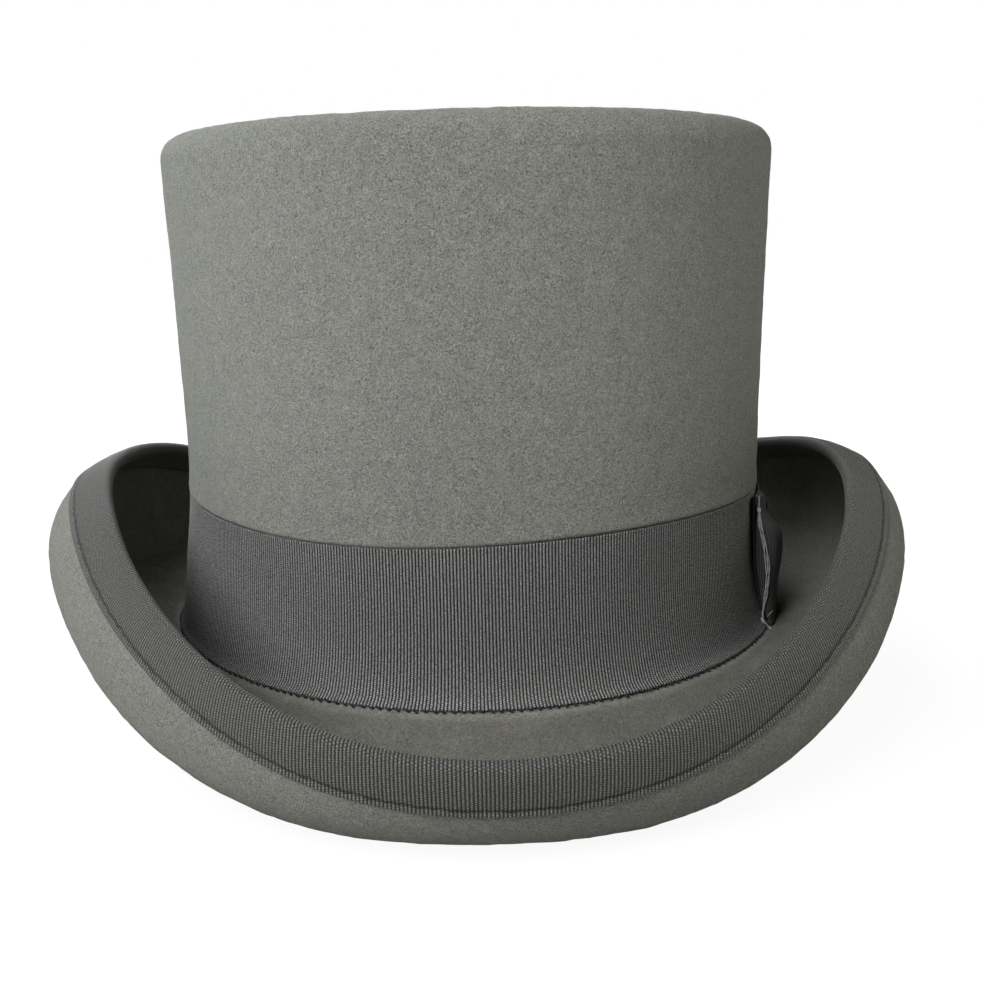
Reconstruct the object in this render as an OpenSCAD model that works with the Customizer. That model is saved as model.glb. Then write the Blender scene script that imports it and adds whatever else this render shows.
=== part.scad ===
// Top hat: a blocked felt body with bound brim, ribbon, bow, sweatband and lining.
// Millimetres, +Z up, the hat standing on its brim, its front towards -Y.
// Angles go round the head oval from the wearer's left (+X), so the front is at -90.

/* [Crown] */
// Half the crown's width at its waist
oval_w = 87.5; // [82:0.5:92]
// Half the crown's depth at its waist, front to back
oval_d = 103.5; // [98:0.5:108]
// Height of the tip above the crown's base line at the sides
crown_h = 144.8; // [110:1:160]
// How far the wall leans out under the tip
top_flare = 4; // [0:0.5:8]
// How far the wall leans out where it meets the brim
base_flare = 5; // [2:0.5:6]
// Radius of the edge between wall and tip
tip_r = 7; // [4:0.5:10]
// How much lower the base line is at the front and back than at the sides
base_dip = 2.3; // [0:0.1:5]
// Thickness of the felt
felt_t = 2.7; // [2:0.1:3.5]

/* [Brim] */
// Slope of the brim where it leaves the crown, at the front and back
slope_front = -25.3; // [-30:0.5:-15]
// Slope of the brim where it leaves the crown, at the sides
slope_side = 15.5; // [5:0.5:20]
// Straight width before the roll, at the front and back
flat_front = 29.9; // [24:0.1:34]
// Straight width before the roll, at the sides
flat_side = 21.8; // [18:0.1:26]
// Radius of the roll at the front and back
roll_front = 19.8; // [16:0.1:24]
// Radius of the roll at the sides
roll_side = 20.4; // [16:0.1:24]
// Angle that the brim rolls through at the front and back
turn_front = 114.9; // [90:1:125]
// Angle that the brim rolls through at the sides
turn_side = 149.4; // [130:1:155]
// Straight width after the roll, up to the edge
lip = 3; // [1:0.5:5]
// Visible width of the edge binding
bind_w = 11.7; // [8:0.1:15]

/* [Ribbons] */
// Width of the hatband
band_w = 41.3; // [30:0.1:46]
// Thickness of the ribbons
ribbon_t = 0.7; // [0.4:0.1:1]
// Pitch of the binding's and the hatband's stitches
stitch_pitch = 4; // [3:0.5:8]
// Angle of the bow's front end
bow_start = -26; // [-32:0.5:-20]
// Angle of the bow's back end
bow_end = 20; // [14:0.5:28]
// How far the bow's loops stand off the hatband
bow_puff = 5.8; // [3:0.1:7]

/* [Inside] */
// Width of the sweatband
sweat_w = 55; // [40:1:60]
// Thickness of the sweatband's leather
sweat_t = 0.9; // [0.6:0.1:1.4]
// Radius of the reed in the sweatband's lower edge
reed_r = 1; // [0.8:0.1:1.2]
// Thickness of the lining
lining_t = 0.4; // [0.3:0.1:0.6]

/* [Hidden] */

// The block that shaped the brim left it a little uneven round the hat
slope_corner = -0.9;
slope_third = 9.7;
slope_lean = -1.2;
slope_twist = 0.5;
flat_corner = -4.4;
flat_third = 2.1;
flat_twist = 0.4;
roll_corner = -2.3;
turn_corner = 21;
turn_third = -17.5;
turn_lean = 3.7;
turn_twist = -5;
band_rise = [-0.24, -0.58, -0.99];

flare_reach = 9;            // height over which the base flare fades
waist = 0.18;               // share of the crown's height below which the top flare is nothing
gap = 0.2;                  // clearance between layers
turns = 72;                 // steps round the oval
all_round = [for (i = [0 : turns - 1]) 360 / turns * i];
half_round = [for (i = [0 : 2 : turns - 1]) 360 / turns * i];
thread_r = 0.25;            // radius of the sewing thread

felt_grey = [0.47, 0.48, 0.45];
ribbon_grey = [0.26, 0.27, 0.27];
thread_grey = [0.12, 0.12, 0.12];
tack_grey = [0.55, 0.55, 0.56];
leather_grey = [0.16, 0.15, 0.14];
satin_grey = [0.62, 0.63, 0.64];

// A value that goes from the front to the side and back, with a corner and a third wave
function swing(front, side, corner, third, a) =
    front + (side - front) * cos(a) ^ 2
    + corner * (1 - cos(4 * a)) / 2
    + third * (cos(2 * a) - cos(6 * a)) / 2;

function brim_slope(a) =
    swing(slope_front, slope_side, slope_corner, slope_third, a)
    + slope_lean * cos(a) - slope_twist * sin(2 * a);
function brim_flat(a) =
    swing(flat_front, flat_side, flat_corner, flat_third, a) - flat_twist * sin(2 * a);
function brim_roll(a) = swing(roll_front, roll_side, roll_corner, 0, a);
function brim_turn(a) =
    swing(turn_front, turn_side, turn_corner, turn_third, a)
    + turn_lean * cos(a) - turn_twist * sin(2 * a);
function brim_len(a) = brim_flat(a) + brim_roll(a) * brim_turn(a) * PI / 180 + lip;

// Where the brim is sampled
bind_share = [1, 0.67, 0.34, 0];
function brim_stops(a) = concat(
    [for (i = [0 : 7]) (brim_len(a) - bind_w) * i / 8],
    [for (f = bind_share) brim_len(a) - bind_w * f]);

// The lowest point of the brim's underside stands on z = 0, which sets the height of the base line
function underside(a, s) = let (p = brim_at(a, s)) p[1] - base_dip * sin(a) ^ 2 - felt_t * cos(p[2]);
base_z = -min([for (a = all_round, s = brim_stops(a)) underside(a, s)]);

// The crown's base line, and the wall's distance outside the oval at height h above it
function base_line(a) = base_z - base_dip * sin(a) ^ 2;
function wall_h(a) = base_z + crown_h - base_line(a);
function top_lean(a, h) = top_flare * max(0, (h / wall_h(a) - waist) / (1 - waist)) ^ 1.5;
function base_lean(h) = base_flare * exp(-h / flare_reach);
function wall_off(a, h) = top_lean(a, h) + base_lean(h);

// A point d outside the oval and z up
function place(a, d, z) =
    let (nx = cos(a) / oval_w, ny = sin(a) / oval_d, n = norm([nx, ny]))
    [oval_w * cos(a) + nx / n * d, oval_d * sin(a) + ny / n * d, z];

// The brim's upper surface at length s from the crown: [outwards, up, heading]
function brim_at(a, s) =
    let (k = brim_slope(a), f = brim_flat(a), r = brim_roll(a), t = brim_turn(a))
    let (b = min(max(s - f, 0) / r * 180 / PI, t), e = max(s - f - r * t * PI / 180, 0))
    let (q = min(s, f))
    [
        q * cos(k) + r * (sin(k + b) - sin(k)) + e * cos(k + t),
        q * sin(k) + r * (cos(k) - cos(k + b)) + e * sin(k + t),
        k + b
    ];
// The same, sunk by depth below the upper surface
function brim_in(a, s, depth) =
    let (p = brim_at(a, s))
    place(a, base_flare + p[0] + depth * sin(p[2]), base_line(a) + p[1] - depth * cos(p[2]));
// A point round the brim's edge: turn 0 is on its underside, 180 on its upper side
function edge_at(a, turn, grow) =
    let (p = brim_at(a, brim_len(a)), c = felt_t / 2, w = p[2] - 90 + turn, r = c + grow)
    place(a,
        base_flare + p[0] + c * sin(p[2]) + r * cos(w),
        base_line(a) + p[1] - c * cos(p[2]) + r * sin(w));

// Where the wall is sampled
band_share = [0, 0.05, 0.11, 0.2, 0.32, 0.5, 0.75, 1];
function band_h(a) = band_w + band_rise[0] * cos(a) + band_rise[1] * cos(2 * a) + band_rise[2] * cos(3 * a);
function wall_stops(a) = concat(
    [for (f = band_share) band_h(a) * f],
    [for (i = [1 : 5]) band_h(a) + (wall_h(a) - tip_r - band_h(a)) * i / 5]);
function wall_at(a, h, d) = place(a, wall_off(a, h) + d, base_line(a) + h);
// A point on the rounded edge between wall and tip, at an angle up from level
function shoulder_at(a, turn, depth) =
    let (h = wall_h(a) - tip_r, r = tip_r - depth)
    place(a, wall_off(a, h) - tip_r + r * cos(turn), base_line(a) + h + r * sin(turn));

function spread(first, last, count) = [for (i = [0 : count]) first + (last - first) * i / count];
function back(v) = [for (i = [len(v) - 1 : -1 : 0]) v[i]];

// Two triangles of a patch whose corners are a, b, c and d, split along its shorter diagonal
function patch(points, a, b, c, d) =
    norm(points[a] - points[c]) < norm(points[b] - points[d])
    ? [[a, c, b], [a, d, c]]
    : [[a, d, b], [d, c, b]];

// A solid through rows of points, each row a closed loop, anticlockwise with +Z up
module loft(rows, ring) {
    n = len(rows);
    m = len(rows[0]);
    points = [for (row = rows) each row];
    sides = [
        for (i = [0 : ring ? n - 1 : n - 2], j = [0 : m - 1])
        let (k = (i + 1) % n, l = (j + 1) % m)
        each patch(points, i * m + j, k * m + j, k * m + l, i * m + l)
    ];
    // each end is closed by strips between its two sides, because its outline may be hollow
    caps = ring ? [] : [
        for (j = [0 : m / 2 - 2])
        let (q = [j, j + 1, m - 2 - j, m - 1 - j])
        each [back(q), [for (k = q) (n - 1) * m + k]]
    ];
    polyhedron(points, concat(sides, caps), convexity = 6);
}

// A bell: rows of points from the inner pole to the outer pole
module bell(rows, inner_pole, outer_pole) {
    n = len(rows);
    m = len(rows[0]);
    points = concat([for (row = rows) each row], [inner_pole, outer_pole]);
    sides = [
        for (i = [0 : n - 1], j = [0 : m - 2])
        let (k = (i + 1) % n)
        each patch(points, i * m + j, k * m + j, k * m + j + 1, i * m + j + 1)
    ];
    poles = [
        for (i = [0 : n - 1])
        let (k = (i + 1) % n)
        each [[n * m, i * m, k * m], [n * m + 1, k * m + m - 1, i * m + m - 1]]
    ];
    polyhedron(points, concat(sides, poles), convexity = 8);
}

// A strip round the crown between two distances from the felt, over a share of the hatband's width
module band_strip(angles, low, high, near, far) {
    shares = [low, for (f = band_share) if (f > low + 0.02 && f < high - 0.02) f, high];
    loft([
        for (a = angles)
        concat(
            [for (f = shares) wall_at(a, band_h(a) * f, far(a))],
            [for (f = back(shares)) wall_at(a, band_h(a) * f, near(a))])
    ], angles == all_round);
}

// One straight stitch from a point to another
module stitch(from, to, r = thread_r) {
    d = to - from;
    translate(from)
    rotate([0, acos(d[2] / norm(d)), atan2(d[1], d[0])])
    cylinder(r = r, h = norm(d), $fn = 24);
}

// Runs of stitches: at(a) gives a point for each angle, and share is the visible part of the pitch
module stitch_line(at, count, share) {
    for (i = [0 : count - 1]) {
        a = 360 * i / count;
        stitch(at(a), at(a + 360 / count * share));
    }
}

girth = PI * (oval_w + oval_d);
brim_girth = 900;
ribbon_off = gap + ribbon_t;

// The rounded inner corner where the wall turns into the brim
function break_at(a) =
    let (d = felt_t * sqrt(0.5))
    place(a, base_flare - d, base_line(a) - d);

// The crown and the brim are one piece of felt
module felt_body() {
    inner_top = base_z + crown_h - felt_t;
    color(felt_grey)
    bell([
        for (a = all_round)
        concat(
            [for (t = [90, 45]) shoulder_at(a, t, felt_t)],
            [for (h = back(wall_stops(a))) wall_at(a, h, -felt_t)],
            [break_at(a)],
            [for (s = brim_stops(a)) brim_in(a, s, felt_t)],
            [for (t = [45, 90, 135]) edge_at(a, t, 0)],
            [for (s = back(brim_stops(a))) if (s > 0) brim_in(a, s, 0)],
            [for (h = wall_stops(a)) wall_at(a, h, 0)],
            [for (t = [22.5, 45, 67.5, 90]) shoulder_at(a, t, 0)])
    ], [0, 0, inner_top], [0, 0, base_z + crown_h]);
}

// Ribbon folded over the brim's edge
module brim_binding() {
    color(ribbon_grey)
    loft([
        for (a = all_round)
        concat(
            [for (f = bind_share) brim_in(a, brim_len(a) - bind_w * f, felt_t + ribbon_off)],
            [for (t = [45, 90, 135]) edge_at(a, t, ribbon_off)],
            [for (f = back(bind_share)) brim_in(a, brim_len(a) - bind_w * f, -ribbon_off)],
            [for (f = bind_share) brim_in(a, brim_len(a) - bind_w * f, -gap)],
            [for (t = [135, 90, 45]) edge_at(a, t, gap)],
            [for (f = back(bind_share)) brim_in(a, brim_len(a) - bind_w * f, felt_t + gap)])
    ], true);
}

// Thread along the binding's lower edge
module brim_binding_stitches() {
    inset = 2.4;
    depth = felt_t + ribbon_off + thread_r + 0.1;
    color(thread_grey)
    stitch_line(function (a) brim_in(a, brim_len(a) - bind_w + inset, depth), floor(brim_girth / stitch_pitch), 0.6);
}

// Ribbon round the crown
module hatband() {
    color(ribbon_grey)
    band_strip(all_round, 0.01, 1, function (a) gap, function (a) ribbon_off);
}

// Thread along the hatband's lower edge
module hatband_stitches() {
    height = 1.6;
    color(thread_grey)
    stitch_line(function (a) wall_at(a, height, ribbon_off + thread_r + 0.1), floor(girth / stitch_pitch), 0.6);
}

bow_mid = (bow_start + bow_end) / 2;
knot_half = 5.5;            // half the knot's width, in degrees of the oval
base_off = 2 * ribbon_off;  // outside of the bow's flat under-layer
function loop_puff(share) = 1.2 + (bow_puff - 1.2) * sin(90 * share) ^ 0.7;

// The bow's flat under-layer, on the hatband
module bow_base() {
    color(ribbon_grey)
    band_strip(spread(bow_start + 1.5, bow_end - 1, 12), 0.05, 0.97,
        function (a) ribbon_off + gap, function (a) base_off);
}

// A flattened loop of ribbon from the knot to the bow's end
module bow_loop(from, to) {
    angles = from < to ? spread(from, to, 8) : spread(to, from, 8);
    color(ribbon_grey)
    band_strip(angles, 0.06, 0.99,
        function (a) base_off + gap,
        function (a) base_off + gap + loop_puff(min(1, abs(a - from) / abs(to - from) + 0.02)));
}

module bow_front_loop() {
    bow_loop(bow_mid - 0.3, bow_start);
}

module bow_rear_loop() {
    bow_loop(bow_mid + 0.3, bow_end);
}

// The ribbon wrapped round the bow's middle
module bow_knot() {
    top = base_off + gap + loop_puff(knot_half / (bow_mid - bow_start)) + gap;
    color(ribbon_grey)
    band_strip(spread(bow_mid - knot_half, bow_mid + knot_half, 4), 0.05, 1,
        function (a) top, function (a) top + ribbon_t);
}

// A loose bundle of thread down the bow's front fold, knotted near its ends
module bow_tack_threads() {
    bundle_r = 0.5;
    sides = 8;
    clear = 0.8;            // degrees in front of the fold
    // Share of the hatband's width, thickness as a multiple of the bundle's, and distance from the felt
    stops = [
        [0.02, 1, 2.3], [0.04, 1, 2.1], [0.055, 1.6, 2], [0.075, 1.6, 2], [0.09, 1, 2],
        [0.13, 1, 2.1], [0.22, 1, 3.4], [0.28, 1, 4.1], [0.36, 1, 4.9], [0.48, 1, 5.4],
        [0.61, 1, 4.8], [0.76, 1, 3.4], [0.85, 1, 3.1], [0.865, 1.6, 3.1], [0.885, 1.6, 3.1],
        [0.9, 1, 3.1], [0.97, 1, 2.9],
    ];
    a = bow_start - clear;
    color(tack_grey)
    loft([
        for (p = stops)
        let (c = wall_at(a, band_h(a) * p[0], p[2]))
        [for (i = [0 : sides - 1])
            c + bundle_r * p[1] * [cos(360 * i / sides), -sin(360 * i / sides), 0]]
    ], false);
}

// Distances inside the felt's outer face of the layers of the inside
lining_face = felt_t + gap + lining_t;
sweat_back = lining_face + 0.7;
sweat_face = sweat_back + sweat_t;
sweat_low = 1;              // height of the sweatband's lower edge
function sweat_at(a, h, d) = place(a, top_lean(a, h) + 0.5 * base_lean(h) - d, base_line(a) + h);
sweat_stops = [for (f = [0, 0.06, 0.14, 0.26, 0.5, 0.75, 1]) sweat_low + (sweat_w - sweat_low) * f];

// The leather band that touches the head
module sweatband() {
    color(leather_grey)
    loft([
        for (a = all_round)
        concat(
            [for (h = sweat_stops) sweat_at(a, h, sweat_back)],
            [for (h = back(sweat_stops)) sweat_at(a, h, sweat_face)])
    ], true);
}

// A tube round the oval under the sweatband's lower edge
module reed_ring(r, sides) {
    mid = (sweat_back + sweat_face) / 2;
    drop = reed_r + ribbon_t / 2 + gap - sweat_low;
    loft([
        for (a = half_round)
        let (o = base_lean(0) / 2 - mid, z = base_line(a) - drop)
        [for (i = [0 : sides - 1]) place(a, o + r * cos(360 * i / sides), z + r * sin(360 * i / sides))]
    ], true);
}

// The reed that keeps the sweatband's edge round
module sweatband_reed() {
    color("gainsboro")
    reed_ring(reed_r * 0.7, 6);
}

// The tape folded round the reed
module reed_tape() {
    color(ribbon_grey)
    difference() {
        reed_ring(reed_r + 0.2, 8);
        reed_ring(reed_r * 0.85, 6);
    }
}

// Thread that holds the sweatband's lower edge
module sweatband_stitches() {
    height = 4;
    color(thread_grey)
    stitch_line(function (a) sweat_at(a, height, sweat_face + thread_r + 0.1), floor(girth / 5), 0.5);
}

// A short strip on the sweatband's inner face
module inside_strip(centre, half, low, high) {
    near = sweat_face + gap;
    heights = [low, for (h = sweat_stops) if (h > low + 1 && h < high - 1) h, high];
    loft([
        for (a = spread(centre - half, centre + half, 4))
        concat(
            [for (h = heights) sweat_at(a, h, near)],
            [for (h = back(heights)) sweat_at(a, h, near + tape_t)])
    ], false);
}

rear = 90;
tape_t = 0.4;

// Tape over the join at the back of the sweatband
module sweatband_seam_tape() {
    color(leather_grey)
    inside_strip(rear, 2.2, 5, sweat_w - 3);
}

// Two rows of thread down the seam tape
module sweatband_seam_stitches() {
    depth = sweat_face + gap + tape_t + thread_r + 0.1;
    rows = 8;
    first = 15;             // above the small bow
    pitch = (sweat_w - 5 - first) / rows;
    color(thread_grey)
    for (a = [rear - 1.5, rear + 1.5], i = [0 : rows - 1]) {
        h = first + pitch * i;
        stitch(sweat_at(a, h, depth), sweat_at(a, h + pitch * 0.6, depth));
    }
}

// The small flat bow at the back of the sweatband: two loops, a knot and two tails
module sweatband_bow() {
    depth = sweat_face + gap + tape_t + gap;
    mid_h = 10;
    color(ribbon_grey)
    for (side = [-1, 1]) {
        loft([
            for (u = side > 0 ? spread(0, 6, 6) : spread(-6, 0, 6))
            let (t = abs(u) / 6, half = 1.2 + 2.2 * sin(150 * t), fat = 0.7 + 1.1 * sin(160 * t))
            [
                sweat_at(rear + u, mid_h - half, depth), sweat_at(rear + u, mid_h + half, depth),
                sweat_at(rear + u, mid_h + half, depth + fat), sweat_at(rear + u, mid_h - half, depth + fat)
            ]
        ], false);
    }
}

lining_low = 22;
function lining_stops(a) = concat(
    [lining_low],
    [for (h = wall_stops(a)) if (h > lining_low + 3) h]);

// The lining's side wall
module lining_side() {
    color(satin_grey)
    loft([
        for (a = all_round)
        let (stops = lining_stops(a))
        concat(
            [for (h = stops) wall_at(a, h, -felt_t - gap)],
            [for (h = back(stops)) wall_at(a, h, -lining_face)])
    ], true);
}

// The lining's flat tip
module lining_tip() {
    z = base_z + crown_h - felt_t - 1.6;
    function rim(a) = wall_off(a, wall_h(a) - tip_r) - tip_r;
    color(satin_grey)
    loft([for (h = [z, z + lining_t]) [for (a = back(all_round)) place(a, rim(a), h)]], false);
}

// The cord sewn between the lining's side wall and its tip
module lining_piping() {
    r = 0.8;
    sides = 6;
    color(satin_grey)
    loft([
        for (a = half_round)
        let (h = wall_h(a) - tip_r)
        [for (i = [0 : sides - 1]) place(a,
            wall_off(a, h) - tip_r + 1.2 + r * cos(360 * i / sides),
            base_line(a) + h + 2 + r * sin(360 * i / sides))]
    ], true);
}

// Tacks through the lining's lower hem
module lining_stitches() {
    height = lining_low + 2;
    count = 60;
    color(satin_grey)
    stitch_line(function (a) wall_at(a, height, -lining_face - thread_r - 0.1), count, 0.3);
}

// A blank label sewn inside the sweatband
module size_label() {
    color("gainsboro")
    inside_strip(62, 5, 12, 26);
}

felt_body();
brim_binding();
brim_binding_stitches();
hatband();
hatband_stitches();
bow_base();
bow_front_loop();
bow_rear_loop();
bow_knot();
bow_tack_threads();
sweatband();
sweatband_reed();
reed_tape();
sweatband_stitches();
sweatband_seam_tape();
sweatband_seam_stitches();
sweatband_bow();
lining_side();
lining_tip();
lining_piping();
lining_stitches();
size_label();
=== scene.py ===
"""A grey felt top hat with a bound, rolled brim, a grosgrain hatband with a side bow.

Lengths in the tables below are millimetres, as in the CAD source, and become metres in place().
Angles go round the head oval from the wearer's left (+X), so the front (-Y) is at -90 degrees.
"""

import bpy
import numpy as np
from mathutils import Matrix, Vector, noise


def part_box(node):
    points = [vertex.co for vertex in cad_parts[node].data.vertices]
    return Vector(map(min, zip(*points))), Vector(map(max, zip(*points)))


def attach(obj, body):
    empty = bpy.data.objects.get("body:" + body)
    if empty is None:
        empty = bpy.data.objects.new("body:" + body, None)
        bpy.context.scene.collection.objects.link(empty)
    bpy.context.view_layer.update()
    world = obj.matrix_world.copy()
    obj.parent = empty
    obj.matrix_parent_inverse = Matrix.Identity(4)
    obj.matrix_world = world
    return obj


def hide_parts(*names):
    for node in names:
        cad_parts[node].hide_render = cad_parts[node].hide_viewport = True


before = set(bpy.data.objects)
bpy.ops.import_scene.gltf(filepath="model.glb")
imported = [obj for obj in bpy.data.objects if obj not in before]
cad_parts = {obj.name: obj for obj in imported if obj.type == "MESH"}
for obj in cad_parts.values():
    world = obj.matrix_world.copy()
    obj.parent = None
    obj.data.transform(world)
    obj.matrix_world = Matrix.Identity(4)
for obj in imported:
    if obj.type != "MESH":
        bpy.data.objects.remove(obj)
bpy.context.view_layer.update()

MM = 0.001
PI = np.pi

# --- dimensions, as in the CAD source

OVAL_W, OVAL_D = 87.5, 103.5
CROWN_H, TOP_FLARE, BASE_FLARE, TIP_R = 144.8, 4.0, 5.0, 7.0
BASE_DIP, FLARE_REACH, WAIST = 2.3, 9.0, 0.18
FELT_T, RIBBON_T, GAP = 2.7, 0.7, 0.2
# the CAD's lip is 1.1 mm and its binding 2.1 mm wider
LIP, BIND_W, BAND_W = 1.9, 9.6, 40.5
BOW_SAG, RIGHT_FULL = 2.0, 2.5  # how much the brim sags behind the bow, and the wall bulges
PRESS = 0.9  # how far the hatband presses into the felt
BAND_RISE = (-0.24, -0.58, -0.99)
BOW_START, BOW_END = np.radians(-26.0), np.radians(20.0)
BOW_MID, KNOT_HALF = (BOW_START + BOW_END) / 2, np.radians(5.5)
SWEAT_W, SWEAT_LOW, SWEAT_T, REED_R, LINING_T = 55.0, 1.0, 0.9, 1.0, 0.4
LINING_LOW = 22.0
LINING_FACE = FELT_T + GAP + LINING_T
SWEAT_BACK = LINING_FACE + 0.7
SWEAT_FACE = SWEAT_BACK + SWEAT_T
BASE_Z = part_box("felt_body")[1].z / MM - CROWN_H


def swing(front, side, corner, third, a):
    """A value round the hat, from those at the front and side and at the angles between."""
    return (
        front
        + (side - front) * np.cos(a) ** 2
        + corner * (1 - np.cos(4 * a)) / 2
        + third * (np.cos(2 * a) - np.cos(6 * a)) / 2
    )


def brim_slope(a):
    return np.radians(swing(-25.3, 15.5, -0.9, 9.7, a) - 1.2 * np.cos(a) - 0.5 * np.sin(2 * a))


def brim_flat(a):
    return swing(29.9, 21.8, -4.4, 2.1, a) - 0.4 * np.sin(2 * a)


def brim_roll(a):
    """The roll's radius, tighter behind the bow than in the CAD, so that the brim sags there."""
    d = np.degrees(a)
    sag = BOW_SAG * smooth(d, -10, 25) * (1 - smooth(d, 60, 110))
    return swing(19.8, 20.4, -2.3, 0, a) - sag - 0.45 * hump(a, -0.21, 0.21)


def brim_turn(a):
    return np.radians(swing(114.9, 149.4, 21, -17.5, a) + 3.7 * np.cos(a) + 5 * np.sin(2 * a))


def brim_len(a):
    return brim_flat(a) + brim_roll(a) * brim_turn(a) + LIP


def base_line(a):
    return BASE_Z - BASE_DIP * np.sin(a) ** 2


def wall_h(a):
    return BASE_Z + CROWN_H - base_line(a)


def top_lean(a, h):
    """The wall's flare; low on the wearer's right it's a little fuller than in the CAD."""
    turn = np.angle(np.exp(1j * (a - np.radians(192))))
    full = RIGHT_FULL * hump(turn, 0, np.radians(30)) * hump(h, 16, 20) * smooth(h, 0, 6)
    return full + TOP_FLARE * np.maximum(0, (h / wall_h(a) - WAIST) / (1 - WAIST)) ** 1.5


def base_lean(h):
    return BASE_FLARE * np.exp(-h / FLARE_REACH)


def band_h(a):
    return BAND_W + sum(r * np.cos((i + 1) * a) for i, r in enumerate(BAND_RISE))


def place(a, d, z):
    """The point d millimetres outside the head oval at angle a, and z millimetres up, in metres."""
    nx, ny = np.cos(a) / OVAL_W, np.sin(a) / OVAL_D
    n = np.hypot(nx, ny)
    x, y = OVAL_W * np.cos(a) + nx / n * d, OVAL_D * np.sin(a) + ny / n * d
    return np.stack(np.broadcast_arrays(x, y, z), -1) * MM


def wall_points(a, h, d):
    """Points d outside the wall's felt, at heights h above its base line."""
    return place(a, top_lean(a, h) + base_lean(h) + d, base_line(a) + h)


def inside_points(a, h, d):
    """Points d inside the felt's outer face, a little straighter up than the felt itself."""
    return place(a, top_lean(a, h) + 0.5 * base_lean(h) - d, base_line(a) + h)


class Section:
    """Points of a cross-section and their normals, from distance and height by angle and step."""

    def __init__(self, a, r, z, nr, nz, v):
        self.a = np.asarray(a)[:, None]
        self.r, self.z, self.nr, self.nz, self.v = np.broadcast_arrays(r, z, nr, nz, v)

    def at(self, lift):
        return place(self.a, self.r + self.nr * lift, self.z + self.nz * lift)


def wall_section(a, heights):
    """The crown's wall, at heights above its base line; heights is by angle and step."""
    c = np.asarray(a)[:, None]
    off = top_lean(c, heights) + base_lean(heights)
    step = 0.01
    slope = (top_lean(c, heights + step) + base_lean(heights + step) - off) / step
    n = np.hypot(1, slope)
    return Section(a, off, base_line(c) + heights, 1 / n, -slope / n, heights)


def brim_section(a, s, side):
    """The brim's upper (side 1) or lower (side -1) surface at lengths s from the crown."""
    c = np.asarray(a)[:, None]
    k, f, r, t = brim_slope(c), brim_flat(c), brim_roll(c), brim_turn(c)
    b = np.minimum(np.maximum(s - f, 0) / r, t)
    e = np.maximum(s - f - r * t, 0)
    q = np.minimum(s, f)
    out = q * np.cos(k) + r * (np.sin(k + b) - np.sin(k)) + e * np.cos(k + t)
    up = q * np.sin(k) + r * (np.cos(k) - np.cos(k + b)) + e * np.sin(k + t)
    g = k + b
    nr, nz = -np.sin(g) * side, np.cos(g) * side
    depth = 0 if side > 0 else FELT_T
    return Section(
        a, BASE_FLARE + out + depth * np.sin(g), base_line(c) + up - depth * np.cos(g), nr, nz, s
    )


def edge_section(a, turns):
    """The brim's rounded edge, from its underside (turn 0) to its upper side (turn pi)."""
    c = np.asarray(a)[:, None]
    tip = brim_section(a, brim_len(c), 1)
    mid_r, mid_z = tip.r - tip.nr * FELT_T / 2, tip.z - tip.nz * FELT_T / 2
    # the underside's normal turned by the angle, anticlockwise in the plane of distance and height
    nr = -tip.nr * np.cos(turns) + tip.nz * np.sin(turns)
    nz = -tip.nz * np.cos(turns) - tip.nr * np.sin(turns)
    return Section(
        a, mid_r + nr * FELT_T / 2, mid_z + nz * FELT_T / 2, nr, nz, turns * FELT_T / 2
    )


def joined(*parts):
    """One section through several, with v running on as the length along it."""
    v, start = [], 0.0
    for i, p in enumerate(parts):
        along = np.concatenate(
            [np.zeros((len(p.a), 1)), np.cumsum(np.hypot(np.diff(p.r), np.diff(p.z)), 1)], 1
        )
        if i:
            start = start + np.hypot(p.r[:, :1] - last.r[:, -1:], p.z[:, :1] - last.z[:, -1:])
        v.append(start + along)
        start = v[-1][:, -1:]
        last = p
    cat = [np.concatenate([getattr(p, k) for p in parts], 1) for k in ("r", "z", "nr", "nz")]
    return Section(parts[0].a[:, 0], *cat, np.concatenate(v, 1))


# --- meshes


def faces_of(rows, steps, ring, tube):
    """Quads of a grid of rows by steps, closed round its rows (ring) and round its steps (tube)."""
    i = np.arange(rows if ring else rows - 1)[:, None]
    j = np.arange(steps if tube else steps - 1)[None, :]
    k, l = (i + 1) % rows, (j + 1) % steps
    quads = np.stack([i * steps + j, k * steps + j, k * steps + l, i * steps + l], -1)
    return quads.reshape(-1, 4).tolist()


def capped(rows, first, last):
    """The shape of a ring of rows whose ends close at two poles, given in metres."""
    columns, steps = rows.shape[:2]
    points = np.concatenate([rows.reshape(-1, 3), [first, last]])
    faces = faces_of(columns, steps, True, False)
    pole = columns * steps
    for i in range(columns):
        k = (i + 1) % columns
        faces.append([pole, k * steps, i * steps])
        faces.append([pole + 1, i * steps + steps - 1, k * steps + steps - 1])
    return points, faces, None


def make(name, shape, material, flip=False):
    """A smooth piece that rides on the hat and stands for the CAD node of its name.

    shape is its points in metres, its faces, and its weave coordinates or None.
    """
    points, faces, uv = shape
    mesh = bpy.data.meshes.new(name)
    faces = [f[:: -1 if flip else 1] for f in faces]
    mesh.from_pydata(points.reshape(-1, 3).tolist(), [], faces)
    mesh.polygons.foreach_set("use_smooth", np.ones(len(mesh.polygons), bool))
    if uv is not None:
        layer = mesh.uv_layers.new(name="weave")
        loops = np.zeros(len(mesh.loops), np.int32)
        mesh.loops.foreach_get("vertex_index", loops)
        layer.data.foreach_set("uv", np.asarray(uv, np.float32).reshape(-1, 2)[loops].ravel())
    mesh.materials.append(material)
    mesh.update()
    piece = bpy.data.objects.new(name, mesh)
    bpy.context.scene.collection.objects.link(piece)
    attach(piece, "root")
    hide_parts(name)
    return piece


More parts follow.
